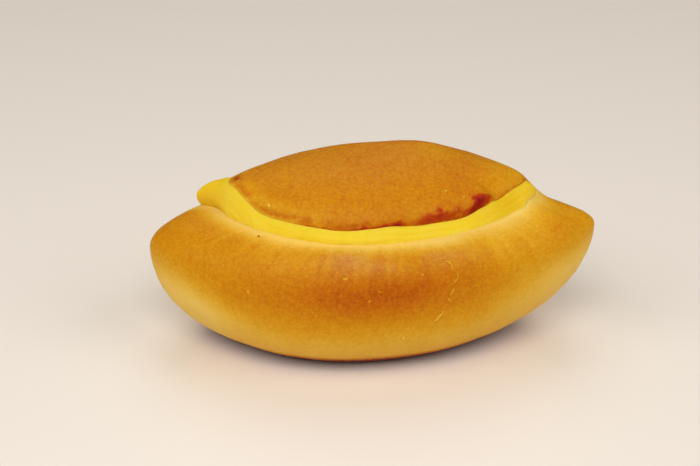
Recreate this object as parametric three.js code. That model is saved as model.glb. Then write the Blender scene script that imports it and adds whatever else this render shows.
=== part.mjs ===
// Spindle-shaped bun, slit round its front and both ends and filled with custard.
// Millimetres, +Z up. X runs along the bun and -Y is its open front. The origin is under the
// middle of the bun, on the flat spot that it rests on.
import * as THREE from 'three';

// Whole bun
const halfLength = 67;
const halfWidth = 33.9;
const height = 57.7;
const leftTaper = 0.75; // 0 leaves an end elliptic, and more draws it to a point
const rightTaper = 0.62;
const tipRound = 0.55; // sine of the angle within which a tip is rounded off
const fullestShift = 0.097; // share of halfLength that the fullest part lies left of the middle
const crown = { x: 6.7, y: 7.5 }; // axis of the lid's highest point
const crownRound = 0.12; // share of the lid's reach over which its top is rounded

// Sizes that change round the bun, given at its front, right, back and left.
// A reach is a share of the way from the crown's axis out to the bun's outline.
const contactReach = [0.45, 0.26, 0.45, 0.48];
const bellyHeight = [22.4, 35.2, 22.4, 30];
const lipReach = [0.713, 0.737, 0.8, 0.681];
const lipHeight = [40.2, 43.5, 40.2, 41.2];
const lidReach = [0.732, 0.646, 0.76, 0.672];
const lidHeight = [43.3, 48.3, 43.3, 48.6];
const shoulderSag = [0, 0, 0, 1];
const shoulderDrop = [0, 3.24, 0, 0]; // how far the shoulder lies below the lip's crest
const custardBulge = [0.4, 1.2, 0.5, 11];

// Superellipse powers of the underside, the wall above the belly and the lid
const underPower = [2.1, 2.04, 2.1, 2.07];
const wallPower = [2.29, 2, 2.29, 1.92];
const lidPower = [1.83, 1.33, 1.83, 1.3];
const sagPlace = 0.2; // share of the way from the lip to the outline where the shoulder sags most
const dropPlace = 0.31; // share over which the dropped shoulder climbs to the lip's crest
const dropPower = 0.94;

// Slit and hinge: angles in degrees round the bun from its right end, by way of the back
const hingeMiddle = 73;
const hingeHalf = 71; // the crust is whole within this angle of the hinge's middle
const mouthFade = 12; // angle over which the slit deepens at each of its ends
const creaseStart = 20; // the lip and lid show as a crease from here
const creaseFull = 55;
const pocketReach = 0.16;
const pocketBack = 14; // Y of the deep end of the slit
const endRound = 0.05; // reach by which the deep end is rounded
const lipRoll = 2;
const lipDrop = 2;
const rimRoll = 1.2;
const rimHeight = 1;

// Lifted, scorched stretch of the lid's rim, and the low swelling on top of the lid
const scorchStart = 270;
const scorchRise = 30;
const scorchEnd = 322;
const scorchFall = 7;
const scorchLift = 2.2;
const liftFade = 3; // power by which the lift dies away up the lid
const swelling = { x: 13.2, y: 9, radius: 11, height: 1.1 };

// Custard
const custardGap = 0.3;
const bulgeFullness = 0.6;
const bulgeSlope = { out: 0.97, up: 0.24 };
const custardLag = 5; // degrees that the custard stays behind the ends of the slit
const thinnestMouth = 0.15; // openness where the custard ends

// Mesh divisions
const columns = 108;
const rowCounts = { base: 2, under: 7, wall: 9, roll: 3, floor: 3, end: 3, roof: 3, rim: 3, lid: 9 };
const mouthRows = 7;

const { degToRad, lerp, smoothstep } = THREE.MathUtils;
const quarterTurn = Math.PI / 2;

// Evenly spaced values from 0 up to, and without, 1
function shares(count) {
  return Array.from({ length: count }, (_, i) => i / count);
}

// Size at angle t, blended between front, right, back and left by squared sine and cosine
function compass(t, [front, right, back, left]) {
  const c = Math.cos(t);
  const s = Math.sin(t);
  const along = c * c * (c > 0 ? right : left);
  const across = s * s * (s > 0 ? back : front);
  return along + across;
}

// Outline of the bun seen from above
function outline(t) {
  const c = Math.cos(t);
  const s = Math.sin(t);
  const taper = lerp(leftTaper, rightTaper, (1 + c) / 2);
  const narrow = Math.hypot(s, tipRound) / Math.hypot(1, tipRound);
  return {
    x: halfLength * (c - fullestShift * s * s),
    y: halfWidth * s * narrow ** taper,
  };
}

// Degrees between t and the middle of the hinge
function hingeAngle(t) {
  const turn = THREE.MathUtils.euclideanModulo(t - degToRad(hingeMiddle) + Math.PI, 2 * Math.PI);
  return THREE.MathUtils.radToDeg(Math.abs(turn - Math.PI));
}

// 0 where the crust is whole, 1 where the slit has its full depth, with both ends a lag further on
function openness(t, lag) {
  return smoothstep(hingeAngle(t) - lag, hingeHalf, hingeHalf + mouthFade);
}

// 0 on the smooth back of the bun, 1 where the lip and the lid stand apart
function creaseness(t) {
  return smoothstep(hingeAngle(t), creaseStart, creaseFull);
}

// How far the lid's rim is lifted at angle t
function rimLift(t) {
  const turn = THREE.MathUtils.radToDeg(THREE.MathUtils.euclideanModulo(t, 2 * Math.PI));
  const rise = smoothstep(turn, scorchStart, scorchStart + scorchRise);
  const fall = smoothstep(turn, scorchEnd - scorchFall, scorchEnd);
  return scorchLift * rise * (1 - fall);
}

// Quarter of a superellipse, from (1, 0) at phi 0 to (0, 1) at a quarter turn
function superArc(phi, power) {
  return [Math.max(Math.cos(phi), 0) ** (2 / power), Math.max(Math.sin(phi), 0) ** (2 / power)];
}

// Height of the lid's dome, 0 to 1, at a share of its reach: a superellipse with a rounded top
function domeRise(out, power) {
  const soft = (Math.hypot(out, crownRound) - crownRound) / (Math.hypot(1, crownRound) - crownRound);
  return Math.max(1 - soft ** power, 0) ** (1 / power);
}

// Distance from the crown's axis to the outline, which turns millimetres into reach
function spanAt(t) {
  const edge = outline(t);
  return Math.hypot(edge.x - crown.x, edge.y - crown.y);
}

// Section of the open slit at angle t as [reach, z, depth], from the lip's crest over the floor, the
// deep end and the roof to the lid's rim. A gap makes it that much smaller.
function slitSection(t, gap) {
  const span = spanAt(t);
  const lip = { reach: compass(t, lipReach), z: compass(t, lipHeight) };
  const lid = { reach: compass(t, lidReach), z: compass(t, lidHeight) };
  const floor = { reach: lip.reach - (lipRoll + gap) / span, z: lip.z - lipDrop + gap };
  const roof = { reach: lid.reach - rimRoll / span, z: lid.z - gap };
  const deep = pocketReach + 2 * gap / span;
  const rows = [];
  for (const u of shares(rowCounts.roll)) {
    const phi = u * quarterTurn;
    rows.push([lerp(lip.reach, floor.reach, Math.sin(phi)), floor.z + lipDrop * Math.cos(phi), 0]);
  }
  for (const u of shares(rowCounts.floor)) {
    rows.push([lerp(floor.reach, deep, u), floor.z, u]);
  }
  for (const u of shares(rowCounts.end)) {
    const phi = u * Math.PI;
    rows.push([deep - endRound * Math.sin(phi), lerp(floor.z, roof.z, (1 - Math.cos(phi)) / 2), 1]);
  }
  for (const u of shares(rowCounts.roof)) {
    rows.push([lerp(deep, roof.reach, u), roof.z, 1 - u]);
  }
  for (const u of shares(rowCounts.rim)) {
    const phi = u * quarterTurn;
    const up = (rimHeight + rimLift(t)) * (1 - Math.cos(phi));
    rows.push([lerp(roof.reach, lid.reach, Math.sin(phi)), roof.z + up, 0]);
  }
  return rows;
}

// The slit as it is at angle t: the open section, closing to a straight crease at the slit's ends
function slitRows(t, gap, lag) {
  const open = openness(t, lag);
  const out = gap / spanAt(t);
  const section = slitSection(t, gap);
  return section.map(([reach, z, depth], i) => {
    const u = i / section.length;
    const creaseReach = lerp(compass(t, lipReach), compass(t, lidReach), u) + out;
    const creaseZ = lerp(compass(t, lipHeight), compass(t, lidHeight) + rimHeight, u);
    return [lerp(creaseReach, reach, open), lerp(creaseZ, z, open), depth * open];
  });
}

// Height of the wall at a share out from the lip: a superellipse from the belly to a shoulder that climbs
// to the lip's crest in a hollow curve on the right and sags a little outside the lip on the left
function wallZ(t, out, up) {
  const drop = compass(t, shoulderDrop);
  const climb = (1 - out) * Math.exp(-((out / dropPlace) ** dropPower));
  const sag = compass(t, shoulderSag) * out / sagPlace * Math.exp(1 - out / sagPlace);
  return lerp(compass(t, bellyHeight), compass(t, lipHeight) - drop, up) + drop * climb - sag;
}

// Upright section of the bread at angle t as [reach, z, share of the crown's offset, depth in the slit],
// from the resting spot over the belly, the lip and the slit to the top of the lid
function breadProfile(t) {
  const contact = compass(t, contactReach);
  const belly = compass(t, bellyHeight);
  const lip = { reach: compass(t, lipReach), z: compass(t, lipHeight) };
  const rim = { reach: compass(t, lidReach), z: compass(t, lidHeight) + rimHeight };
  const crease = creaseness(t);
  const lipPhi = Math.asin((lip.z - belly) / (height - belly));
  const rimPhi = Math.asin((rim.z - belly) / (height - belly));
  const rows = [];

  // A row between the creased form and the plain dome of the back
  function addRow(reach, z, phi, share, depth) {
    const plainZ = belly + (height - belly) * Math.sin(phi);
    rows.push([lerp(Math.cos(phi), reach, crease), lerp(plainZ, z, crease), share, depth]);
  }

  for (const u of shares(rowCounts.base)) {
    rows.push([contact * u, 0, 0, 0]);
  }
  for (const u of shares(rowCounts.under)) {
    const [out, down] = superArc((1 - u) * quarterTurn, compass(t, underPower));
    rows.push([lerp(contact, 1, out), belly * (1 - down), 0, 0]);
  }
  for (const u of shares(rowCounts.wall)) {
    const [out, up] = superArc(u * quarterTurn, compass(t, wallPower));
    addRow(lerp(lip.reach, 1, out), wallZ(t, out, up), u * lipPhi, u, 0);
  }
  const slit = slitRows(t, 0, 0);
  slit.forEach(([reach, z, depth], i) => {
    addRow(reach, z, lerp(lipPhi, rimPhi, i / slit.length), 1, depth);
  });
  for (const u of shares(rowCounts.lid)) {
    const power = compass(t, lidPower);
    const [out] = superArc(u * quarterTurn, power);
    const up = domeRise(out, power);
    const lift = rimLift(t) * (1 - up) ** liftFade;
    addRow(rim.reach * out, lerp(rim.z, height, up) + lift, lerp(rimPhi, quarterTurn, u), 1, 0);
  }
  return rows;
}

// Closed section of the custard at angle t: the slit less a gap, and a bulging face in its mouth
function custardProfile(t) {
  const rows = slitRows(t, custardGap, custardLag).slice(0, -rowCounts.rim + 1);
  const [topReach, topZ] = rows.at(-1);
  const [lowReach, lowZ] = rows[0];
  const bulge = compass(t, custardBulge) * openness(t, custardLag);
  for (const u of shares(mouthRows).slice(1)) {
    const push = bulge * Math.sin(Math.PI * u) ** bulgeFullness;
    const reach = lerp(topReach, lowReach, u) + bulgeSlope.out * push / spanAt(t);
    rows.push([reach, lerp(topZ, lowZ, u) + bulgeSlope.up * push, 0]);
  }
  return rows.map(([reach, z, depth]) => [reach, z, 1, depth]);
}

// Point at angle t for a profile row
function place(t, [reach, z, share, depth]) {
  const edge = outline(t);
  const x = crown.x * share;
  const y = lerp(crown.y * share, pocketBack, depth);
  return new THREE.Vector3(lerp(x, edge.x, reach), lerp(y, edge.y, reach), z);
}

// Rise of the low swelling at a point of the lid
function swellingAt(point) {
  const away = Math.hypot(point.x - swelling.x, point.y - swelling.y) / swelling.radius;
  return swelling.height * Math.exp(-away * away);
}

// Closed surface through rings of equal length, drawn to a point at both ends
function skin(start, rings, end) {
  const count = rings[0].length;
  const points = [start, ...rings.flat(), end];
  const last = points.length - 1;
  const faces = [];
  for (let j = 0; j < count; j += 1) {
    const next = (j + 1) % count;
    faces.push(0, 1 + next, 1 + j);
    faces.push(last, last - count + j, last - count + next);
    for (let i = 0; i < rings.length - 1; i += 1) {
      const low = 1 + i * count;
      const high = low + count;
      faces.push(low + j, low + next, high + next);
      faces.push(low + j, high + next, high + j);
    }
  }
  const geometry = new THREE.BufferGeometry().setFromPoints(points);
  geometry.setIndex(faces);
  geometry.computeVertexNormals();
  return geometry;
}

// Middle of a ring of points
function middle(ring) {
  const sum = ring.reduce((total, point) => total.add(point), new THREE.Vector3());
  return sum.divideScalar(ring.length);
}

const angles = shares(columns).map((u) => u * 2 * Math.PI);

// Bread: rings round the bun, from the resting spot up to the top of the lid
function breadGeometry() {
  const profiles = angles.map((t) => breadProfile(t));
  const rings = profiles[0].map((_, i) => angles.map((t, j) => place(t, profiles[j][i])));
  const lidStart = rings.length - rowCounts.lid;
  rings.slice(lidStart + 1).flat().forEach((point) => {
    point.z += swellingAt(point);
  });
  const top = new THREE.Vector3(crown.x, crown.y, height);
  top.z += swellingAt(top);
  return skin(new THREE.Vector3(), rings.slice(1), top);
}

// Custard: sections from the left end of the slit, round the front, to its right end
function custardGeometry() {
  const turnFromHinge = (t) => THREE.MathUtils.euclideanModulo(t - degToRad(hingeMiddle), 2 * Math.PI);
  const inMouth = angles.filter((t) => openness(t, custardLag) > thinnestMouth);
  inMouth.sort((a, b) => turnFromHinge(a) - turnFromHinge(b));
  const sections = inMouth.map((t) => custardProfile(t).map((row) => place(t, row)));
  return skin(middle(sections[0]), sections, middle(sections.at(-1)));
}

const crust = new THREE.MeshStandardMaterial({ color: 0xd1871e, roughness: 0.55, metalness: 0 });
const filling = new THREE.MeshStandardMaterial({ color: 0xf6cd38, roughness: 0.5, metalness: 0 });

const bread = new THREE.Mesh(breadGeometry(), crust);
bread.name = 'bread';
const custard = new THREE.Mesh(custardGeometry(), filling);
custard.name = 'custard';

const bun = new THREE.Group();
bun.add(bread, custard);
export default bun;
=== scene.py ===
from itertools import product

import bpy
import numpy as np
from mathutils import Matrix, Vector


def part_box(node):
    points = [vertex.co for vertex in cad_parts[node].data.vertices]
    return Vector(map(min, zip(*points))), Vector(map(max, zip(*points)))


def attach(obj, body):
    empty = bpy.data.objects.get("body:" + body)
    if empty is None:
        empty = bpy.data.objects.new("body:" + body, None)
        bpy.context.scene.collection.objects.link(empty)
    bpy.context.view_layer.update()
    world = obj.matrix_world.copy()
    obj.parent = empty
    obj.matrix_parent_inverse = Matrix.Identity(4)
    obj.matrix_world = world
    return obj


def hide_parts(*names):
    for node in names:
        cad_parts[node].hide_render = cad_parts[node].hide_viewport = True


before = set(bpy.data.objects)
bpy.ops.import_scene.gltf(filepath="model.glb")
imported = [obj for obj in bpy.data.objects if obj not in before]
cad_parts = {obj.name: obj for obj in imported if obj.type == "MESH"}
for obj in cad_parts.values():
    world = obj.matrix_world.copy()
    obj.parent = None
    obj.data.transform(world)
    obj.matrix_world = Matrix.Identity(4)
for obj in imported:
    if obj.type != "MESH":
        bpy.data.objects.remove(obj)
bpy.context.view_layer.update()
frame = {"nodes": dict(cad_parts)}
breadLow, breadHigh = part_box("bread")
print("frame loaded:", ", ".join(frame["nodes"]))

# Form of the bun in metres. Foursomes are sizes at its front, right, back and left.
# A reach is a share of the way from the crown's axis out to the bun's outline.
# Angles are degrees round the bun from its right end, by way of the back.
bun = {
    "halfLength": (breadHigh[0] - breadLow[0]) / 2,
    "halfWidth": (breadHigh[1] - breadLow[1]) / 2,
    "crownHeight": 0.0577,
    "crown": (0.0067, 0.0075),
    "crownRound": 0.12,
    "tapers": (0.75, 0.62),  # left and right
    "tipRound": 0.55,
    "lidBlunt": 0.35,  # the lid's corners are blunter above its rim
    "bluntRise": 0.3,
    "fullestShift": 0.097,
    "contactReach": (0.45, 0.26, 0.45, 0.48),
    "bellyHeight": (0.0224, 0.0352, 0.0224, 0.03),
    "underPower": (2.1, 2.04, 2.1, 2.07),
    "wallPower": (2.29, 2.0, 2.29, 1.92),
    "lipReach": (0.713, 0.737, 0.8, 0.681),
    "lipHeight": (0.0402, 0.0435, 0.0402, 0.0412),
    "lidReach": (0.732, 0.646, 0.76, 0.672),
    "lidHeight": (0.0433, 0.0483, 0.0433, 0.0486),
    "lidPower": (1.83, 1.33, 1.83, 1.3),
    "shoulderSag": (0.0, 0.0, 0.0, 0.001),
    "sagPlace": 0.2,
    "shoulderDrop": (0.0, 0.00324, 0.0, 0.0),  # how far the shoulder lies below the lip's crest
    "dropPlace": 0.31,
    "dropPower": 0.94,
    "hingeMiddle": 73.0,
    "hingeHalf": 71.0,
    "mouthFade": 12.0,
    "creaseTurn": (20.0, 55.0),
    "pocketReach": 0.16,
    "pocketBack": 0.014,
    "endRound": 0.05,
    # Shares of the way from the lip to the lid between which the closed slit lies
    "creaseLine": (0.42, 0.56),
    "endInset": 6.0,  # degrees from the end of the slit to the corner of the open mouth
    "cornerTurn": 12.0,
    "cornerShares": (0.25, 0.45),  # how far the lip and the lid close in at a corner of the mouth
    "cornerFull": 0.3,  # the lip's climb at which it counts as closed in
    "cornerTight": 0.8,  # how much smaller the lip's roll is there
    "cornerPower": 4,
    "rightRise": 0.3,  # how far the lip climbs towards the right corner
    "riseTurn": (8.0, 38.0),
    "lipRoll": 0.002,
    "lipDrop": 0.002,
    "rimRoll": 0.0012,
    "rimHeight": 0.001,
    "liftedTurn": ((270.0, 300.0), (315.0, 322.0)),  # where the lifted stretch sets in and ends; dark shade is painted under it
    "scorchLift": 0.0022,
    "liftFade": 3.0,
    "swelling": (0.0132, 0.009, 0.011, 0.0011),  # x, y, radius, height
    # Slow waves of the two edges: angle, half-width and rise
    "lipWaves": ((229.0, 14.0, 0.0003), (310.0, 14.0, -0.0005), (337.0, 7.0, 0.001)),
    "lidWaves": (
        (200.0, 12.0, 0.001), (228.0, 11.0, -0.0012), (276.0, 9.0, 0.001),
        (304.0, 8.0, -0.0008), (333.0, 8.0, 0.0008),
    ),
    "liftWaves": ((278.0, 4.0, 0.0005), (298.0, 4.0, 0.0006), (314.0, 4.0, 0.0012)),
    # Fine waver of the edges: size, waves and seed, for the reach of both and the height of the lid's
    "lipWaver": (0.003, 7.0, 11),
    "lidWaver": (0.004, 11.0, 13),
    "lidRipple": (0.0002, 15.0, 14),
    "freeEdge": (0.1, 0.6),  # sines of the angles between which it sets in, away from the tips
}


def smoothStep(x, low, high):  # 0 below low, 1 above high, an S curve between
    u = np.clip((x - low) / (high - low), 0.0, 1.0)
    return u * u * (3.0 - 2.0 * u)


def mix(a, b, k):  # straight blend from a at 0 to b at 1
    return a + (b - a) * k


def hump(x, middle, width):  # bell curve of height 1
    return np.exp(-(((x - middle) / width) ** 2))


noiseLattice = {"values": 4096, "mixers": (73856093, 19349663, 83492791), "ringHeight": 0.37}


def latticeNoise(points, cell, seed):  # random values on a cubic lattice, joined by a fifth-power curve
    table = np.random.default_rng(seed).uniform(-1.0, 1.0, noiseLattice["values"])
    place = points / cell
    base = np.floor(place).astype(np.int64)
    part = place - base
    part = part ** 3 * (part * (part * 6.0 - 15.0) + 10.0)
    total = np.zeros(points.shape[:-1])
    for corner in product((0, 1), repeat=3):
        mixed = (base + corner) * noiseLattice["mixers"]
        key = mixed[..., 0] ^ mixed[..., 1] ^ mixed[..., 2]
        weight = np.prod(np.where(corner, part, 1.0 - part), axis=-1)
        total += weight * table[key % noiseLattice["values"]]
    return total


def layeredNoise(points, layers, base=0.0):  # a base plus noises, each with its strength, cell and seed
    return sum((strength * latticeNoise(points, cell, seed) for strength, cell, seed in layers), base)


def roundNoise(t, count, seed):  # lattice noise read along a circle, so it closes on itself
    ring = np.stack([np.cos(t), np.sin(t), np.full_like(t, noiseLattice["ringHeight"])], -1)
    return latticeNoise(ring * count, 1.0, seed)


def waver(t, size, count, seed):  # noise round the bun that dies away towards its tips
    return size * smoothStep(np.abs(np.sin(t)), *bun["freeEdge"]) * roundNoise(t, count, seed)


def turnFrom(t, degrees):  # signed degrees from an angle, -180 to 180
    return (np.degrees(t) - degrees + 180.0) % 360.0 - 180.0


def humpAt(t, angle, width):  # bell curve round the bun
    return hump(turnFrom(t, angle), 0.0, width)


def waves(t, bumps):  # sum of bell curves round the bun
    return sum(rise * humpAt(t, angle, width) for angle, width, rise in bumps)


def compass(t, sizes):  # a foursome at angle t, blended by squared sine and cosine
    front, right, back, left = sizes
    c, s = np.cos(t), np.sin(t)
    return c * c * np.where(c > 0, right, left) + s * s * np.where(s > 0, back, front)


def bunOutline(t, blunt=0.0):  # ellipse whose width narrows towards both ends, with rounded tips
    c, s = np.cos(t), np.sin(t)
    taper = mix(*bun["tapers"], (1.0 + c) / 2.0)
    tip = bun["tipRound"] + blunt
    narrow = np.hypot(s, tip) / np.hypot(1.0, tip)
    x = bun["halfLength"] * (c - bun["fullestShift"] * s * s)
    return x, bun["halfWidth"] * s * narrow ** taper


def spanAt(t):  # distance from the crown's axis to the outline
    x, y = bunOutline(t)
    return np.hypot(x - bun["crown"][0], y - bun["crown"][1])


def fromHinge(t):  # degrees from the middle of the hinge, either way
    return np.abs(turnFrom(t, bun["hingeMiddle"]))


def pastHinge(t):  # degrees past the ends of the hinge, into the slit
    return fromHinge(t) - bun["hingeHalf"]


def slitOpenness(t, lag):  # 0 where the crust is whole, an S curve to 1 where the slit is fully deep
    return smoothStep(fromHinge(t) - lag, bun["hingeHalf"], bun["hingeHalf"] + bun["mouthFade"])


def creaseness(t):  # 0 on the smooth back, an S curve to 1 where the lip and the lid stand apart
    return smoothStep(fromHinge(t), *bun["creaseTurn"])


def liftedShare(t):  # 1 along the lifted stretch of the lid's rim, where shade is painted under it, an S curve at both ends
    turn = np.degrees(t) % 360.0
    comesIn, fallsOff = (smoothStep(turn, *ends) for ends in bun["liftedTurn"])
    return comesIn * (1.0 - fallsOff)


def rimLift(t):  # how far the lid's rim is lifted off the custard: the lifted stretch and slow waves
    return bun["scorchLift"] * liftedShare(t) + waves(t, bun["liftWaves"])


def superArc(phi, power):  # quarter of a superellipse, (1, 0) at phi 0 and (0, 1) at a quarter turn
    share = 2.0 / power
    return np.maximum(np.cos(phi), 0.0) ** share, np.maximum(np.sin(phi), 0.0) ** share


def domeRise(out, power):  # height of the dome at a share of its reach: a superellipse with a rounded top
    blunt = bun["crownRound"]
    soft = (np.hypot(out, blunt) - blunt) / (np.hypot(1.0, blunt) - blunt)
    return np.maximum(1.0 - soft ** power, 0.0) ** (1.0 / power)


def shares(count):  # a column of even steps from 0 up to, and without, 1
    return (np.arange(count) / count)[:, None]


def edgeLines(t):  # reach and height of the lip's crest and of the lid's rim: foursomes, waves and waver
    lipReach = compass(t, bun["lipReach"]) + waver(t, *bun["lipWaver"])
    lipHeight = compass(t, bun["lipHeight"]) + waves(t, bun["lipWaves"])
    lidReach = compass(t, bun["lidReach"]) + waver(t, *bun["lidWaver"])
    lidHeight = compass(t, bun["lidHeight"]) + waves(t, bun["lidWaves"])
    return lipReach, lipHeight, lidReach, lidHeight + waver(t, *bun["lidRipple"])


def creaseStep(t):  # change of reach and of height from the lip's crest to the lid's rim
    lipReach, lipHeight, lidReach, lidHeight = edgeLines(t)
    return lidReach - lipReach, lidHeight + bun["rimHeight"] - lipHeight


# Height of the wall: a superellipse from the belly to a shoulder, which climbs to the lip's crest
# in a hollow curve on the right and sags a little outside the lip on the left
def wallHeight(t, out, up):
    belly = compass(t, bun["bellyHeight"])
    lipHeight = edgeLines(t)[1]
    drop = compass(t, bun["shoulderDrop"])
    climb = (1.0 - out) * np.exp(-((out / bun["dropPlace"]) ** bun["dropPower"]))
    near = out / bun["sagPlace"]
    sag = compass(t, bun["shoulderSag"]) * near * np.exp(1.0 - near)
    return mix(belly, lipHeight - drop, up) + drop * climb - sag


# Shares of the crease by which the lip and the lid close the mouth towards its corners: a quarter
# of a circle at each corner, and a long S curve for the lip on the right
def mouthEnds(t):
    inside = pastHinge(t) - bun["endInset"]
    near = 1.0 - np.clip(inside / bun["cornerTurn"], 0.0, 1.0)
    corner = 1.0 - np.sqrt(1.0 - near * near)
    climb = np.where(np.cos(t) > 0.0, 1.0 - smoothStep(inside, *bun["riseTurn"]), 0.0)
    lipShare, lidShare = bun["cornerShares"]
    return bun["rightRise"] * climb + lipShare * corner, lidShare * corner


def closedIn(lower):  # 0 along the open mouth, 1 where the lip has climbed to close it in
    return smoothStep(lower, 0.0, bun["cornerFull"])


# Reach, height and depth of each row of the open slit: quarter circles for the lip's and a share of
# the rim's roll, straight lines for floor and roof, half a circle for the deep end
def slitSection(t, gap, counts, rimShare):
    lipReach, lipHeight, lidReach, lidHeight = edgeLines(t)
    creaseOut, creaseUp = creaseStep(t)
    span = spanAt(t)
    lower, upper = mouthEnds(t)
    tight = 1.0 - bun["cornerTight"] * closedIn(lower)
    fall = bun["lipDrop"] * tight
    rollReach = lipReach - (bun["lipRoll"] * tight + gap) / span
    rollHeight = lipHeight - fall + gap
    floorReach, floorHeight = rollReach + lower * creaseOut, rollHeight + lower * creaseUp
    roofReach = lidReach - bun["rimRoll"] / span - upper * creaseOut
    roofHeight = lidHeight - gap - upper * creaseUp
    deep = bun["pocketReach"] + 2.0 * gap / span
    u = shares(counts["roll"])
    climb = lower * (1.0 - (1.0 - u) ** bun["cornerPower"])
    rollOut = mix(lipReach, rollReach, np.sin(u * np.pi / 2))
    rollUp = rollHeight + fall * np.cos(u * np.pi / 2)
    parts = [(rollOut + climb * creaseOut, rollUp + climb * creaseUp, 0.0 * u)]
    u = shares(counts["floor"])
    parts.append((mix(floorReach, deep, u), floorHeight + 0.0 * u, u))
    u = shares(counts["end"])
    endUp = mix(floorHeight, roofHeight, (1.0 - np.cos(u * np.pi)) / 2.0)
    parts.append((deep - bun["endRound"] * np.sin(u * np.pi), endUp, 1.0 + 0.0 * u))
    u = shares(counts["roof"])
    parts.append((mix(deep, roofReach, u), roofHeight + 0.0 * u, 1.0 - u))
    u = shares(counts["rim"]) * rimShare
    rimRise = bun["rimHeight"] + rimLift(t) + upper * creaseUp
    rimUp = roofHeight + rimRise * (1.0 - np.cos(u * np.pi / 2))
    parts.append((mix(roofReach, lidReach, np.sin(u * np.pi / 2)), rimUp, 0.0 * u))
    return [np.vstack([rows + 0.0 * t for rows in column]) for column in zip(*parts)]


def creaseShares(counts):  # even steps across the closed crease, close together for the pocket's rows
    low, high = bun["creaseLine"]
    pocket = counts["floor"] + counts["end"] + counts["roof"]
    lip, rim = shares(counts["roll"]), shares(counts["rim"])
    return np.vstack([low * lip, mix(low, high, shares(pocket)), mix(high, 1.0, rim)])


# The open section, blended to a straight crease at both ends of the slit
def slitRows(t, gap, lag, counts, rimShare):
    lipReach, lipHeight, lidReach, lidHeight = edgeLines(t)
    reach, height, depth = slitSection(t, gap, counts, rimShare)
    u = creaseShares(counts)
    opening = slitOpenness(t, lag)
    creaseReach = mix(lipReach, lidReach, u) + gap / spanAt(t)
    creaseHeight = mix(lipHeight, lidHeight + bun["rimHeight"], u)
    return mix(creaseReach, reach, opening), mix(creaseHeight, height, opening), depth * opening


# Point at a reach between the outline and an upright axis, which drifts to the crown or the slit's end
def onBun(t, reach, height, crownShare=0.0, depth=0.0, blunt=0.0):
    x, y = bunOutline(t, blunt)
    axisX = bun["crown"][0] * crownShare
    axisY = mix(bun["crown"][1] * crownShare, bun["pocketBack"], depth)
    return np.stack([mix(axisX, x, reach), mix(axisY, y, reach), height + 0.0 * x], -1)


def gridNormals(points, least=1e-12):  # cross product of the steps along the columns and the rows
    along = np.roll(points, -1, 1) - np.roll(points, 1, 1)
    normal = np.cross(along, np.gradient(points, axis=0))
    return normal / np.maximum(np.linalg.norm(normal, axis=-1, keepdims=True), least)


def runLength(points, axis):  # distance run from the first point along the rows or the columns
    steps = np.diff(points, axis=axis, prepend=np.take(points, [0], axis))
    return np.cumsum(np.linalg.norm(steps, axis=-1), axis=axis)


def closedFaces(rows, columns, first):  # quads between rings of points, and a fan at both ends
    i, j = np.meshgrid(np.arange(rows - 1), np.arange(columns), indexing="ij")
    low, k = first + i * columns, (j + 1) % columns
    quads = np.stack([low + j, low + k, low + columns + k, low + columns + j], -1).reshape(-1, 4)
    j = np.arange(columns)
    k = (j + 1) % columns
    start, top = first + rows * columns, first + (rows - 1) * columns
    startFan = np.stack([np.full(columns, start), first + k, first + j], -1)
    endFan = np.stack([np.full(columns, start + 1), top + j, top + k], -1)
    return quads, np.concatenate([startFan, endFan])


def surfaceMesh(name, grids, fields):  # closed grids, each with its two end points, as one piece
    vertices, corners, sizes = [], [], []
    first = 0
    for points, start, end in grids:
        rows, columns = points.shape[:2]
        quads, fans = closedFaces(rows, columns, first)
        vertices += [points.reshape(-1, 3), [start], [end]]
        corners += [quads.ravel(), fans.ravel()]
        sizes += [np.full(len(quads), 4), np.full(len(fans), 3)]
        first += rows * columns + 2
    vertices, corners = np.concatenate(vertices), np.concatenate(corners)
    sizes = np.concatenate(sizes)
    starts = np.concatenate([[0], np.cumsum(sizes)[:-1]])
    mesh = bpy.data.meshes.new(name)
    mesh.vertices.add(len(vertices))
    mesh.vertices.foreach_set("co", vertices.astype(np.float32).ravel())
    mesh.loops.add(len(corners))
    mesh.loops.foreach_set("vertex_index", corners.astype(np.int32))
    mesh.polygons.add(len(sizes))
    mesh.polygons.foreach_set("loop_start", starts.astype(np.int32))
    mesh.update(calc_edges=True)
    mesh.polygons.foreach_set("use_smooth", np.ones(len(sizes), bool))
    for fieldName, values in fields.items():
        layer = mesh.attributes.new(fieldName, "FLOAT", "POINT")
        layer.data.foreach_set("value", values.astype(np.float32))
    piece = bpy.data.objects.new(name, mesh)
    bpy.context.scene.collection.objects.link(piece)
    return piece


def withEnds(values):  # a grid's values in a row, then the means of its first and last ring for the ends
    return np.concatenate([values.ravel(), [values[0].mean(), values[-1].mean()]])


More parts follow.
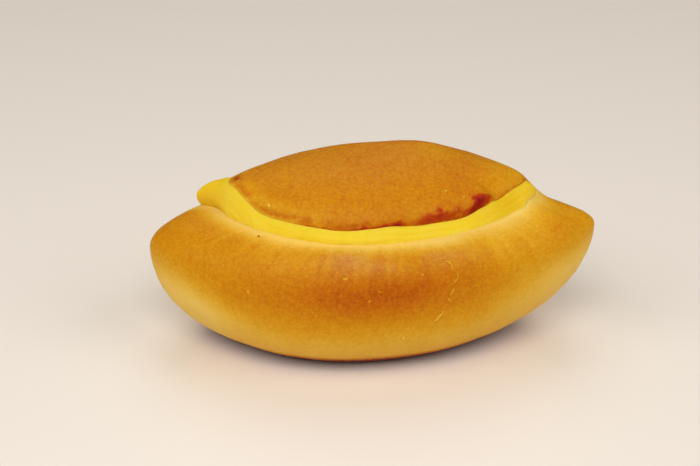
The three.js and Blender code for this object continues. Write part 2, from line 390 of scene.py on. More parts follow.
# Bread: rows from the resting spot over the belly, the lip and the slit to the crown
breadLook = {
    "columns": 460,
    "rows": {
        "base": 5, "under": 34, "wall": 62,
        "roll": 12, "floor": 6, "end": 6, "roof": 6, "rim": 14,
        "lid": 64,
    },
    # Undulations: height, width and seed of each
    "relief": ((0.00030, 0.022, 21), (0.00012, 0.0075, 22), (0.00004, 0.0022, 23)),
    # Heights and distances over which they set in above the floor, below the lip and above the rim
    "calmBase": (0.0005, 0.006),
    "calmLip": (0.0015, 0.005),
    "calmRim": (-0.0005, 0.003),
    "wrinkle": 0.00011,  # depth of the faint upright wrinkles below the lip
    "wrinkleLay": (0.014, 44.0, 27),  # their length, number for each radian and seed
    "wrinkleBand": (0.009, 0.006),  # middle and half-width of their band below the lip
    "frontSide": (0.3, 0.8),  # sines of the angles between which they set in on the front
    # The closed ends of the slit are rounded off by wider and wider means of the rows
    "evenSteps": (1, 2, 4, 8, 8),
    "evenRows": (12, 30.0),  # rows from the lip's crest to the middle of the rounding, and its half-width
    "evenTurn": (-4.0, 2.0),
    "glossBand": (0.0062, 0.0042),  # middle and half-width of the shiny band below the lip
    "glossAlong": (0.001, 0.021),  # the same along the bun
    "glossPatches": (0.009, 39),  # size and seed of the patches that it breaks into
    "glossPatchy": (-0.7, 0.4),
    # Browning, by the tones of the crust's finish: cream at -0.15, darkest brown at 1.4
    "lipTone": (-0.24, 0.5),  # of the torn lip and of the crust below it
    "lipFade": (0.001, 0.008),
    "lipEnds": (0.016, 0.034),  # towards both ends the pale lip fades out more slowly
    "leftFade": (0.0006, 0.0099),
    "rightFade": 0.0052,
    "torn": (-14.0, 4.0),  # degrees past the ends of the hinge over which the pale lip begins
    # Changes of tone towards the right tip, of the lip and of the crust below it, and where along the bun
    "tipBrown": (0.22, (0.042, 0.052)),
    "rightPaling": (0.13, (0.041, 0.009)),
    "tipDark": (0.2, (0.047, 0.061)),
    "bellyTone": 0.5,
    "bellyAlong": (0.001, 0.031),
    "bellyDrop": (0.0183, 0.09),  # the darkest band's distance below the lip, and its tilt along the bun
    "bellyDepth": 0.0069,
    "streakTone": 0.12,
    "streakLay": (0.012, 40.0, 33),  # length, number for each radian and seed
    "underTone": (0.13, -0.08),  # in the middle and at the ends
    "underEnds": (0.025, 0.06),
    "underFade": (0.42, 0.98),  # shares of the belly's height
    "underShift": (0.31, 0.27),  # on the right and on the left
    # Brown of the base where it sat on the tray, and painted contact shadow along its foot
    "baseBrownShade": 1.4,
    "baseFade": (0.14, 0.28),
    "backTone": 0.66,
    "backBand": (1.1, 0.4),  # shares of the belly's height
    "lidTone": 0.63,
    # Places on the lid: change of tone, where it lies along the bun and where up the lid
    "cornerPaling": (0.28, (0.027, 0.046)),
    "patchBrown": (0.06, (0.022, 0.009), (0.008, 0.006)),
    "leftPalings": (
        (0.26, (0.01, 0.03), (0.0024, 0.003)),
        (0.36, (0.012, 0.026), (0.0, 0.0007)),
    ),
    "topPaling": (0.24, (0.005, 0.025), (0.016, 0.032)),
    "insideFade": (-0.005, -0.0002),  # from the tone of the lip to that of the lid inside the slit
    "cloudTone": 0.08,
    "clouds": ((0.6, 0.017, 31), (0.4, 0.006, 32)),
    # Browned places on the lid's edge, some painted shade under its lifted rim: angle, half-width,
    # strength and rise up the lid
    "edgeStainsAndShade": (
        (252.0, 12.0, 0.4, 0.001), (271.0, 10.0, 0.66, 0.0013), (280.0, 3.0, 0.75, 0.0017),
        (296.0, 12.0, 0.46, 0.0024), (310.2, 3.9, 1.1, 0.0019), (330.0, 14.0, 0.42, 0.0011),
        (354.0, 8.0, 0.45, 0.0014),
    ),
    "edgeDepth": 0.0008,  # how far below the rim's top the lid's edge shows
    # Painted shade under the lifted rim, with the scorching: depth, gain, rise, reach inside, lag and
    # ragged border
    "liftedShadeDepth": 0.4,
    "scorchShadeGain": 1.2,
    "scorchRise": 0.0013,
    "scorchShadeInside": 0.005,  # how far the scorching and painted shade reach in under the lid
    "scorchShadeLag": -2.0,
    "scorchShadeRagged": ((0.4, 0.002, 35), (0.3, 0.0007, 36)),
    # Soft brown smudges in a row just above the lid's edge, and one at its left tip
    "smudges": {
        "angles": (194.0, 276.0),
        "fade": 8.0,
        "band": (0.0013, 0.0012),
        "depth": 0.34,
        "patches": ((1.0, 0.0034, 37), (0.5, 0.0034 / 3.0, 38)),
        "patchy": (-0.55, 0.4),
        "tip": (182.0, 12.0, 0.0023, 0.0016, 0.85),  # angle, half-width, distance, half-height and depth
        "tipPatchy": (-1.6, 0.0),
    },
}


# Rings of the bread: a flat spot, a superellipse under the belly, the wall, the slit and the lid's dome,
# blended with one plain round dome at the back
def breadGrid():
    rows = breadLook["rows"]
    t = (np.arange(breadLook["columns"]) / breadLook["columns"] * 2.0 * np.pi)[None, :]
    lipReach, lipHeight, lidReach, lidHeight = edgeLines(t)
    contact, belly = compass(t, bun["contactReach"]), compass(t, bun["bellyHeight"])
    domeFoot = compass(t, bun["lidHeight"]) + bun["rimHeight"]
    top = bun["crownHeight"]
    crease = creaseness(t)
    lipPhi = np.arcsin((lipHeight - belly) / (top - belly))
    rimPhi = np.arcsin((domeFoot - belly) / (top - belly))
    parts = []

    def addRows(reach, height, phi, crownShare=1.0, depth=0.0, blunt=0.0):  # creased form or back's dome
        reach = mix(np.cos(phi), reach, crease)
        height = mix(belly + (top - belly) * np.sin(phi), height, crease)
        parts.append(onBun(t, reach, height, crownShare, depth, blunt))

    u = shares(rows["base"])[1:]
    parts.append(onBun(t, contact * u, 0.0 * u))
    u = shares(rows["under"])
    out, down = superArc((1.0 - u) * np.pi / 2, compass(t, bun["underPower"]))
    parts.append(onBun(t, mix(contact, 1.0, out), belly * (1.0 - down)))
    u = shares(rows["wall"])
    out, up = superArc(u * np.pi / 2, compass(t, bun["wallPower"]))
    addRows(mix(lipReach, 1.0, out), wallHeight(t, out, up), u * lipPhi, u)
    reach, height, depth = slitRows(t, 0.0, 0.0, rows, 1.0)
    addRows(reach, height, mix(lipPhi, rimPhi, shares(len(reach))), depth=depth)
    u = shares(rows["lid"])
    power = compass(t, bun["lidPower"])
    out = superArc(u * np.pi / 2, power)[0]
    up = domeRise(out, power)
    wave = lidHeight + bun["rimHeight"] - domeFoot + rimLift(t) * slitOpenness(t, 0.0)
    dome = mix(domeFoot, top, up) + wave * (1.0 - up) ** bun["liftFade"]
    blunt = bun["lidBlunt"] * smoothStep(1.0 - out, 0.0, bun["bluntRise"])
    addRows(lidReach * out, dome, mix(rimPhi, np.pi / 2, u), blunt=blunt)
    points = np.concatenate(parts)
    lipRow = rows["base"] - 1 + rows["under"] + rows["wall"]
    return t, points, lipRow, len(points) - rows["lid"]


def swellingAt(points):  # low bell-shaped swelling on top of the lid
    x, y, radius, height = bun["swelling"]
    return height * np.exp(-(((points[..., 0] - x) ** 2 + (points[..., 1] - y) ** 2) / radius ** 2))


def uprightNoise(t, belowLip, length, count, seed):  # noise in upright streaks below the front lip
    lay = np.stack([belowLip / length, t * count + 0.0 * belowLip, 0.0 * belowLip], -1)
    band = hump(belowLip, *breadLook["wrinkleBand"])
    return latticeNoise(lay, 1.0, seed) * band * smoothStep(-np.sin(t), *breadLook["frontSide"])


# Undulations in three sizes and faint upright wrinkles, dying away at the floor, the lip and the rim
def crustRelief(t, points, belowLip, aboveRim, onWall, onLid):
    look = breadLook
    relief = layeredNoise(points, look["relief"])
    relief += look["wrinkle"] * uprightNoise(t, belowLip, *look["wrinkleLay"]) * onWall
    calm = smoothStep(points[..., 2], *look["calmBase"])
    nearLip = smoothStep(belowLip, *look["calmLip"])
    nearRim = smoothStep(aboveRim, *look["calmRim"])
    return relief * (calm * np.where(onWall, nearLip, np.where(onLid, nearRim, 0.0)))


def roundedEnds(t, points, lipRow):  # rows near the closed ends of the slit blended with their means
    even = points.copy()
    for step in breadLook["evenSteps"]:
        even[step:-step] = (even[:-2 * step] + 2.0 * even[step:-step] + even[2 * step:]) / 4.0
    middle, half = breadLook["evenRows"]
    row = np.arange(len(points))[:, None]
    near = hump(row, lipRow + middle, half) * (1.0 - smoothStep(pastHinge(t), *breadLook["evenTurn"]))
    return mix(points, even, near[..., None])


# Tones of the torn lip and of the crust above the belly, with S curves and a bell curve along the bun
def lipTones(t, x):
    look = breadLook
    pale, brown = look["lipTone"]
    change, along = look["tipBrown"]
    pale = pale + change * smoothStep(x, *along)
    change, along = look["rightPaling"]
    brown = brown - change * hump(x, *along)
    change, along = look["tipDark"]
    brown = brown + change * smoothStep(x, *along)
    return mix(brown, pale, smoothStep(pastHinge(t), *look["torn"])), brown


def lipFading(t, x, belowLip):  # 0 at the pale lip, rising to 1 down the wall, more slowly at both ends
    look = breadLook
    away = np.maximum(belowLip - tongueLength(t), 0.0)  # the pale lip keeps to the custard's edge
    front = smoothStep(away, *look["lipFade"])
    left, right = smoothStep(away, *look["leftFade"]), 1.0 - np.exp(-away / look["rightFade"])
    return mix(front, np.where(x < 0.0, left, right), smoothStep(np.abs(x), *look["lipEnds"]))


# Browning of the wall: pale at the lip, darkest in a band along the belly, pale again underneath
# and brown where it sat on the tray, darkened further as painted contact shadow
def wallTone(t, points, belowLip):
    look = breadLook
    x, level = points[..., 0], points[..., 2] / compass(t, bun["bellyHeight"])
    pale, brown = lipTones(t, x)
    middle, tilt = look["bellyDrop"]
    band = look["bellyTone"] * hump(x, *look["bellyAlong"])
    upper = mix(pale, brown, lipFading(t, x, belowLip))
    upper = upper + band * hump(belowLip, middle - tilt * x, look["bellyDepth"])
    whole = look["backTone"] + band * hump(level, *look["backBand"])
    streak = look["streakTone"] * uprightNoise(t, belowLip, *look["streakLay"])
    ends = smoothStep(np.abs(x), *look["underEnds"])
    shift = np.where(x > 0.0, *look["underShift"])
    fade = smoothStep(level - shift * ends, *look["underFade"])
    wall = mix(mix(*look["underTone"], ends), mix(whole, upper, creaseness(t)) + streak, fade)
    return mix(look["baseBrownShade"], wall, smoothStep(level, *look["baseFade"]))


def lidTone(t, points, aboveRim):  # browning of the lid: even, paler at its corners, smudged at its edge
    look = breadLook
    x = points[..., 0]
    change, along = look["cornerPaling"]
    lid = look["lidTone"] - change * smoothStep(x, *along)
    change, along, up = look["patchBrown"]
    lid = lid + change * hump(x, *along) * hump(aboveRim, *up)
    for change, along, up in look["leftPalings"]:
        lid = lid - change * smoothStep(-x, *along) * hump(aboveRim, *up)
    change, along, up = look["topPaling"]
    lid = lid - change * smoothStep(x, *along) * smoothStep(aboveRim, *up)
    return mix(look["backTone"], lid + rimSmudges(t, points, aboveRim), creaseness(t))


# Browning of the whole crust: wall, lid and a fade between them in the slit, plus soft clouds
def bakedTone(t, points, belowLip, aboveRim, onWall, onLid):
    look = breadLook
    lid = lidTone(t, points, aboveRim)
    lip = mix(look["backTone"], lipTones(t, points[..., 0])[0], creaseness(t))
    inside = mix(lip, lid, smoothStep(aboveRim, *look["insideFade"]))
    tone = np.where(onLid, lid, np.where(onWall, wallTone(t, points, belowLip), inside))
    return tone + look["cloudTone"] * layeredNoise(points, look["clouds"])


# Scorching and painted shade: the strongest of several bell curves round the edge, each fading up the lid
# as a bell curve with a ragged border; along the lifted stretch it is painted shade under the rim
def scorchAndShadeTone(t, points, aboveEdge, onRim, onLid):
    look = breadLook
    ragged = layeredNoise(points, look["scorchShadeRagged"], 1.0)
    climb = np.maximum(aboveEdge, 0.0)
    # The lifted stretch's dark band is painted shade under the rim
    stains = [(look["liftedShadeDepth"] * liftedShare(t), look["scorchRise"])]
    for angle, width, strength, rise in look["edgeStainsAndShade"]:
        stains.append((strength * humpAt(t, angle, width), rise))
    tone = 0.0
    for share, rise in stains:
        tone = np.maximum(tone, share * hump(climb, 0.0, rise * ragged))
    inward = hump(np.minimum(aboveEdge, 0.0), 0.0, look["scorchShadeInside"])
    tone = np.minimum(look["scorchShadeGain"] * tone * ragged, 1.0)
    return np.where(onRim | onLid, tone * inward, 0.0) * slitOpenness(t, look["scorchShadeLag"])


def rimSmudges(t, points, aboveRim):  # noise patches in bell-shaped bands at the lid's left edge
    look = breadLook["smudges"]
    first, last = look["angles"]
    turn = np.degrees(t) % 360.0
    along = smoothStep(turn, first, first + look["fade"])
    along = along * (1.0 - smoothStep(turn, last - look["fade"], last))
    patches = layeredNoise(points, look["patches"])
    row = look["depth"] * along * smoothStep(patches, *look["patchy"])
    row = row * hump(aboveRim, *look["band"])
    angle, width, place, half, depth = look["tip"]
    tip = depth * humpAt(t, angle, width) * hump(aboveRim, place, half)
    return np.maximum(row, tip * smoothStep(patches, *look["tipPatchy"]))


def glossShare(t, points, belowLip, onWall):  # noise patches in a bell-shaped band below the lip's middle
    look = breadLook
    patchy = smoothStep(latticeNoise(points, *look["glossPatches"]), *look["glossPatchy"])
    gloss = hump(belowLip, *look["glossBand"]) * hump(points[..., 0], *look["glossAlong"])
    return gloss * patchy * (onWall & (np.sin(t) < 0.0))


def makeBread():  # the rings, moved out by the relief, with their browning, painted contact shadow at the foot, scorching with painted shade, and gloss
    t, points, lipRow, lidRow = breadGrid()
    points[lidRow + 1:, :, 2] += swellingAt(points[lidRow + 1:])
    run = runLength(points, 0)
    belowLip = run[lipRow] - run  # distance down the wall from the lip's crest
    aboveRim = run - run[lidRow]  # distance up the lid from its rim
    row, counts = np.arange(len(points))[:, None], breadLook["rows"]
    onWall, onLid = row < lipRow, row >= lidRow
    onRim = (row >= lidRow - counts["rim"] - counts["roof"]) & (row < lidRow)
    normal = gridNormals(points)
    relief = crustRelief(t, points, belowLip, aboveRim, onWall, onLid)
    points = roundedEnds(t, points + normal * relief[..., None], lipRow)
    bake = bakedTone(t, points, belowLip, aboveRim, onWall, onLid)
    scorch = scorchAndShadeTone(t, points, aboveRim + breadLook["edgeDepth"], onRim, onLid)
    gloss = glossShare(t, points, belowLip, onWall)
    fields = {"bake": withEnds(bake), "scorch": withEnds(scorch), "gloss": withEnds(gloss)}
    top = np.array([*bun["crown"], points[-1, :, 2].mean()])
    piece = surfaceMesh("bread_crust", [(points, np.zeros(3), top)], fields)
    print("bread:", len(piece.data.polygons), "faces")
    place = {"points": points, "normal": normal, "bake": bake}
    place.update({"belowLip": belowLip, "aboveRim": aboveRim, "lidRow": lidRow})
    return piece, place


# Flakes: curled scales of dry crust, scattered specks and one dark crumb
flakeLook = {
    "rings": 5,
    "points": 16,
    "thickness": 0.00022,
    "sunk": 0.3,  # share of the thickness below the crust
    "ragged": ((0.2, 2.0, 1.0), (0.15, 5.0, 2.0)),  # depth, waves and turn of the outline's waves
    # Angle, distance below the lip (minus: up the lid), length, width, turn, bend and change of tone
    "scales": (
        (294.0, 0.0104, 0.0034, 0.0006, 54.0, -0.3, -0.44),
        (297.9, 0.0106, 0.0022, 0.0003, 90.0, 0.1, -0.3),
        (295.3, 0.0150, 0.0042, 0.0005, 122.0, -0.22, -0.44),
        (293.2, 0.0185, 0.0033, 0.0005, 126.0, -0.1, -0.42),
        (292.9, 0.0211, 0.0022, 0.00045, 49.0, 0.1, -0.36),
        (290.6, 0.0257, 0.0048, 0.0005, -51.0, 0.05, -0.42),
        (275.7, 0.0167, 0.0013, 0.00054, 30.0, 0.3, -0.52),
        (266.7, 0.0136, 0.0016, 0.00095, -10.0, 0.1, -0.42),
        (273.2, 0.0199, 0.0008, 0.00095, 0.0, 0.0, -0.47),
        (281.8, 0.0325, 0.0007, 0.00081, 15.0, 0.0, -0.42),
        (286.7, 0.0125, 0.0007, 0.00068, 30.0, 0.1, -0.47),
        (240.9, 0.0225, 0.0008, 0.00095, 0.0, 0.0, -0.42),
        (227.6, -0.0030, 0.0010, 0.00081, 25.0, 0.1, -0.52),
        (301.4, -0.0072, 0.0013, 0.00068, 20.0, 0.15, -0.47),
        (307.0, -0.0035, 0.0012, 0.00054, -15.0, 0.1, -0.47),
    ),
    "crumb": (231.2, 0.0046, 0.0009, 0.0006, 20.0, 0.0, 0.9),
    "crumbScorch": 0.85,
    "specks": {
        "count": 110,
        "seed": 51,
        "angles": (205.0, 335.0),
        "places": (-0.024, 0.026),
        "clear": 0.004,  # no specks this near the lip or the rim
        "lengths": (0.00025, 0.0007),
        "widths": (0.5, 0.9),  # shares of the length
        "turns": (0.0, 180.0),
        "bends": (-0.2, 0.2),
        "tones": (-0.35, -0.1),
    },
}


def speckScatter():  # random small flakes over the front of the bread, pushed clear of the slit
    look = flakeLook["specks"]
    random = np.random.default_rng(look["seed"])

    def draw(name):  # even random numbers between two limits
        return random.uniform(*look[name], look["count"])

    place = draw("places")
    pushed = np.copysign(look["clear"], place) + place
    place = np.where(np.abs(place) < look["clear"], pushed, place)
    length = draw("lengths")
    angle = draw("angles")
    width = length * draw("widths")
    return np.stack([angle, place, length, width, draw("turns"), draw("bends"), draw("tones")], -1)


def flakeSpot(place, angle, away):  # row and column of the crust nearest to a flake's place
    columns, lidRow = place["points"].shape[1], place["lidRow"]
    column = int(round(angle / 360.0 * columns)) % columns
    if away > 0.0:
        return int(np.argmin(np.abs(place["belowLip"][:lidRow, column] - away))), column
    return lidRow + int(np.argmin(np.abs(place["aboveRim"][lidRow:, column] + away))), column


# An ellipsoid flattened onto the crust, ragged in outline and bent by the square of its length
def flakeGrid(centre, up, number, length, width, turn, bend):
    look = flakeLook
    phi = (np.arange(look["rings"]) + 0.5) / look["rings"] * np.pi - np.pi / 2
    theta = np.arange(look["points"]) / look["points"] * 2.0 * np.pi
    side, rise = np.cos(phi)[:, None], np.sin(phi)[:, None] + 0.0 * theta
    level = np.cross(up, [0.0, 0.0, 1.0])
    level = level / np.linalg.norm(level)
    steep = np.cross(level, up)
    c, s = np.cos(np.radians(turn)), np.sin(np.radians(turn))
    first, second = c * level + s * steep, c * steep - s * level
    ragged = 1.0
    for depth, count, shift in look["ragged"]:
        ragged = ragged + depth * np.sin(count * theta + shift * number)
    u, v = side * np.cos(theta) * ragged, side * np.sin(theta) * ragged
    sideways = v * width / 2.0 + bend * length * u * u
    thickness = look["thickness"]
    middle = centre + up * thickness * (0.5 - look["sunk"])
    grid = middle + u[..., None] * first * length / 2.0 + sideways[..., None] * second
    grid = grid + rise[..., None] * up * thickness / 2.0
    return grid, middle - up * thickness / 2.0, middle + up * thickness / 2.0


def makeFlakes(place):  # the crumb, the scales and the specks as one piece, each in one tone
    look = flakeLook
    grids, bake, scorch = [], [], []
    for number, flake in enumerate([look["crumb"], *look["scales"], *speckScatter()]):
        angle, away, length, width, turn, bend, tone = flake
        spot = flakeSpot(place, angle, away)
        centre, up = place["points"][spot], place["normal"][spot]
        grids.append(flakeGrid(centre, up, number, length, width, turn, bend))
        count = look["rings"] * look["points"] + 2
        bake.append(np.full(count, place["bake"][spot] + tone))
        scorch.append(np.full(count, look["crumbScorch"] if number == 0 else 0.0))
    bake, scorch = np.concatenate(bake), np.concatenate(scorch)
    piece = surfaceMesh("crust_flakes", grids, {"bake": bake, "scorch": scorch, "gloss": 0.0 * bake})
    print("flakes:", len(grids))
    return piece


# Custard: the filled slit, a face from the lid down to the lip, and a tongue pushed out at the left end
custardLook = {
    "columns": 420,
    "rows": {"roll": 1, "floor": 4, "end": 5, "roof": 6, "rim": 5},
    "faceRows": 48,
    "rimShare": (0.97, 0.3),  # covered share of the rim's roll, on its plain and on its lifted stretch
    "cling": 0.00015,  # how far it sinks into the crumb
    "edgeSink": 0.0005,  # how deep its lower edge lies in the crust
    "tuck": (0.05, 0.2),  # shares of the crease over which its edge comes to follow the climbing lip
    "lag": 1.0,  # degrees by which it opens later than the slit
    "ends": (1.2, 5.2),  # degrees from the left and the right end of the slit to its own
    "bulge": (0.0006, 0.0012, 0.0006, 0.0008),
    "bulgeSlope": (0.978, 0.208),  # outward and upward
    "bulgeFullness": 0.64,
    "bulgeFade": 1.6,  # it is full while the mouth's open share times this is 1 or more
    "tongue": (150.0, 14.0, 0.0126),  # angle, half-width and length over the crust
    "swell": (153.7, 26.0, 0.0056),  # angle, half-width and fullness of the tongue
    "tail": 1.3,
    "tongueStart": 5.2,
    "endTurn": 8.5,  # degrees over which the tongue's end is rounded
    "fan": 8.0,  # degrees, sets how far the tongue's end bulges towards the back
    "fanTurn": (152.0, 157.0),
    "spill": (0.0011, 0.3),  # how far it laps over the lip, and how unevenly
    "spillWaves": (22.0, 41),  # waves round the bun and seed
    "leftTurn": (160.0, 222.0),  # the tongue passes into the plain band
    "endShadeTurn": (303.0, 326.0),  # painted shade: darker towards the right end
    "fillet": 2.4,
    "streaks": (0.00006, 0.012, 0.0009, 43),  # depth, length, width and seed of fine ridges
    "lumps": (0.00018, 0.006, 44),  # height, width and seed
}


def endRounding(t):  # 0 where the tongue begins, rising to 1 along a quarter of a circle
    inside = pastHinge(t) - custardLook["tongueStart"]
    near = 1.0 - np.clip(inside / custardLook["endTurn"], 0.0, 1.0)
    return np.sqrt(1.0 - near * near)


def lobe(t, angle, width):  # 1 at an angle, falling away on both sides with a long tail
    return np.exp(-np.abs(turnFrom(t, angle) / width) ** custardLook["tail"]) * endRounding(t)


def tongueLength(t):  # how far the custard lies out over the crust at the left end
    angle, width, length = custardLook["tongue"]
    return length * lobe(t, angle, width)


def fannedTurn(t):  # angles of the lower edge, turned towards the back at the tongue's end
    grown = tongueLength(t) / tongueLength(t).max()
    front = smoothStep(np.degrees(t) % 360.0, *custardLook["fanTurn"])
    return t - np.radians(custardLook["fan"]) * (np.sqrt(grown) * (1.0 - grown) * (1.0 - front))


# Reach and height of the lower edge: on the wall's superellipse, as far out as the film or the tongue
def custardEdge(t, edgeTurn, leftEnd, lower):
    look = custardLook
    size, unevenness = look["spill"]
    uneven = unevenness * (1.0 - leftEnd) * roundNoise(t, *look["spillWaves"])
    film = size * (1.0 + uneven) * (1.0 - closedIn(lower))
    lipReach = edgeLines(edgeTurn)[0]
    out = np.hypot(film, tongueLength(t)) / (spanAt(t) * (1.0 - lipReach))
    power = compass(edgeTurn, bun["wallPower"])
    wall = wallHeight(edgeTurn, out, (1.0 - out ** power) ** (1.0 / power))
    creaseOut, creaseUp = creaseStep(t)
    tuck = lower * smoothStep(lower, *look["tuck"])
    return mix(lipReach, 1.0, out) + tuck * creaseOut, wall + tuck * creaseUp - look["edgeSink"]


# Columns round the filled slit, with a face down to the lower edge that a power of a sine pushes out
def custardGrid():
    look = custardLook
    rows = look["rows"]
    leftGap, rightGap = look["ends"]
    first = bun["hingeMiddle"] + bun["hingeHalf"] + leftGap
    last = bun["hingeMiddle"] - bun["hingeHalf"] - rightGap + 360.0
    t = np.radians(np.linspace(first, last, look["columns"]))[None, :]
    rimShare = mix(*look["rimShare"], liftedShare(t))
    filled = slitRows(t, -look["cling"], look["lag"], rows, rimShare)
    reach, height, depth = (part[rows["roll"]:] for part in filled)
    lower, upper = mouthEnds(t)
    angle, width, fullness = look["swell"]
    swell = lobe(t, angle, width)
    turn = np.degrees(t) % 360.0
    leftEnd = 1.0 - smoothStep(turn, *look["leftTurn"])
    edgeTurn = fannedTurn(t)
    edgeReach, edgeHeight = custardEdge(t, edgeTurn, leftEnd, lower)
    u = (np.arange(1, look["faceRows"] + 1) / look["faceRows"])[:, None]
    push = compass(t, look["bulge"]) * np.minimum((1.0 - lower - upper) * look["bulgeFade"], 1.0)
    push = (push + fullness * swell) * np.sin(np.pi * u) ** look["bulgeFullness"]
    outward, upward = look["bulgeSlope"]
    plain = np.maximum(leftEnd, closedIn(lower))
    drop = u ** mix(look["fillet"], 1.0, plain)
    down = mix(np.sin(u * np.pi / 2), u, plain)
    across = np.concatenate([np.zeros(len(reach)), u[:, 0]])[:, None]
    reach = np.vstack([reach, mix(reach[-1], edgeReach, drop) + outward * push / spanAt(t)])
    height = np.vstack([height, mix(height[-1], edgeHeight, down) + upward * push])
    depth = np.vstack([depth, 0.0 * u + 0.0 * t])
    points = onBun(mix(t, edgeTurn, across), reach, height, 1.0, depth)
    # Painted shade: darker at the tongue and towards the right end
    endShading = np.maximum(leftEnd, smoothStep(turn, *look["endShadeTurn"]))
    return t, points, len(points) - look["faceRows"], endShading, swell


def makeCustard():  # the columns as closed rings, with fine ridges and lumps on the face
    t, points, keep, endShading, swell = custardGrid()
    row = np.arange(len(points))[:, None]
    face = np.clip((row - keep + 1) / custardLook["faceRows"], 0.0, 1.0)
    u = face + 0.0 * t  # 0 under the lid, 1 at the lip
    along = runLength(points[-1:], 1)
    across = runLength(points, 0)
    across = across - across[keep - 1]
    depth, length, width, seed = custardLook["streaks"]
    lay = np.stack([along / length + 0.0 * across, across / width, 0.0 * across], -1)
    relief = depth * latticeNoise(lay, 1.0, seed) + layeredNoise(points, [custardLook["lumps"]])
    relief = relief * np.where(row >= keep, np.sqrt(np.sin(np.pi * u)), 0.0)
    points = points - gridNormals(points) * relief[..., None]
    rings = points.transpose(1, 0, 2)  # one ring for each column
    grids = {"lap": u * (1.0 - swell), "skin": endShading + 0.0 * u, "along": along + 0.0 * u, "across": across}
    fields = {name: withEnds(values.T) for name, values in grids.items()}
    piece = surfaceMesh("custard_filling", [(rings, rings[0].mean(0), rings[-1].mean(0))], fields)
    print("custard:", len(piece.data.polygons), "faces")
    return piece


def newMaterial(name):  # an empty material with a Principled shader
    material = bpy.data.materials.new(name)
    material.use_nodes = True
    tree = material.node_tree
    return material, tree, tree.nodes["Principled BSDF"]


def addNode(tree, kind, inputs=None, **settings):  # a node, its settings and its inputs' values or links
    node = tree.nodes.new(kind)
    for key, value in settings.items():
        setattr(node, key, value)
    for key, value in (inputs or {}).items():
        if isinstance(value, bpy.types.NodeSocket):
            tree.links.new(value, node.inputs[key])
        else:
            node.inputs[key].default_value = value
    return node


screenCurve = {"full": 255.0, "foot": 0.04045, "slope": 12.92, "lift": 0.055, "power": 2.4}


def colour(red, green, blue):  # screen colour as linear light: straight, then a power curve
    screen = np.array([red, green, blue]) / screenCurve["full"]
    lift = screenCurve["lift"]
    curve = ((screen + lift) / (1.0 + lift)) ** screenCurve["power"]
    linear = np.where(screen <= screenCurve["foot"], screen / screenCurve["slope"], curve)
    return (*linear.tolist(), 1.0)


def colourRamp(tree, level, stops):  # colours by position along a level
    node = addNode(tree, "ShaderNodeValToRGB", {"Fac": level})
    elements = node.color_ramp.elements
    while len(elements) < len(stops):
        elements.new(1.0)
    for element, (position, shade) in zip(elements, stops):
        element.position = position
        element.color = colour(*shade)
    return node.outputs["Color"]


def blend(tree, share, base, over):  # one colour laid over another
    node = addNode(tree, "ShaderNodeMix", {0: share, 6: base, 7: over}, data_type="RGBA")
    return node.outputs[2]


def calculate(tree, operation, *values):  # one step of arithmetic
    return addNode(tree, "ShaderNodeMath", dict(enumerate(values)), operation=operation).outputs[0]


def addWeighted(tree, value, weight, rest):  # a value times its weight, added to the rest
    return calculate(tree, "MULTIPLY_ADD", value, weight, rest)


def field(tree, name):  # a value carried by the mesh
    return addNode(tree, "ShaderNodeAttribute", attribute_name=name).outputs["Fac"]


def scaled(tree, place, stretch):  # coordinates multiplied axis by axis
    return addNode(tree, "ShaderNodeVectorMath", {0: place, 1: stretch}, operation="MULTIPLY").outputs[0]


def noise(tree, place, scale, detail):  # smooth noise of 0 to 1
    inputs = {"Vector": place, "Scale": scale, "Detail": detail}
    return addNode(tree, "ShaderNodeTexNoise", inputs).outputs["Fac"]


def cells(tree, place, scale):  # random cells: distance from each one's middle, and its colour
    return addNode(tree, "ShaderNodeTexVoronoi", {"Vector": place, "Scale": scale}).outputs


def ranged(tree, value, low, high, start, end):  # a value carried from one range to another
    inputs = {"Value": value, "From Min": low, "From Max": high, "To Min": start, "To Max": end}
    return addNode(tree, "ShaderNodeMapRange", inputs).outputs[0]


def roughen(tree, shader, height, strength, distance):  # a bump on the shader
    inputs = {"Strength": strength, "Distance": distance, "Height": height}
    tree.links.new(addNode(tree, "ShaderNodeBump", inputs).outputs[0], shader.inputs["Normal"])


# Foursomes carry a value from one range to another
crustFinish = {
    "toneRange": (-0.25, 1.4),
    "tones": (  # browning and colour
        (-0.15, (240, 202, 98)), (0.0, (234, 188, 72)), (0.25, (221, 163, 30)), (0.5, (209, 140, 6)),
        (0.75, (197, 116, 3)), (1.0, (184, 92, 1)), (1.2, (150, 62, 2)), (1.4, (120, 45, 2)),
    ),
    # Colours of the scorching, and of the painted shade under the lifted rim
    "scorch": ((0.25, (190, 90, 2)), (0.6, (172, 50, 2)), (1.0, (140, 8, 4))),
    "scorchShadeCover": (0.02, 0.4, 0.0, 1.0),
    # Scale and detail of the noises, and scale of the blisters
    "mottle": (380.0, 4.0),
    "grain": (2100.0, 2.0),
    "grainStretch": (0.7, 0.7, 1.5),
    "crinkle": (850.0, 3.0),
    "blister": 900.0,
    "uneven": {"grain": 0.5, "blister": 0.25, "mottle": 0.2, "middle": 0.46},  # weights in the browning
    "unevenDark": (-0.05, 0.6, 0.2, 1.0),  # browner crust is more uneven
    # Pale flecks, partly pale spots of the crust and partly painted glints: colour, scale, size of the
    # dots and which of them show
    "fleckAndGlint": (240, 200, 110),
    "fleckScale": 230.0,
    "fleckDot": (0.03, 0.065, 1.0, 0.0),
    "fleckChoice": (0.55, 0.8, 0.0, 0.5),
    "dull": (0.3, 0.7, 0.42, 0.58),  # roughness by the mottle
    "glossSmooth": -0.14,  # change of the roughness in the shiny band
    "glossShine": (0.0, 1.0, 0.1, 0.7),
    "height": {"blister": -0.6, "crinkle": 11.0, "fleckAndGlint": 0.8},  # weights in the bump, beside the grain
    "bump": (0.65, 0.00016),  # strength and distance
}
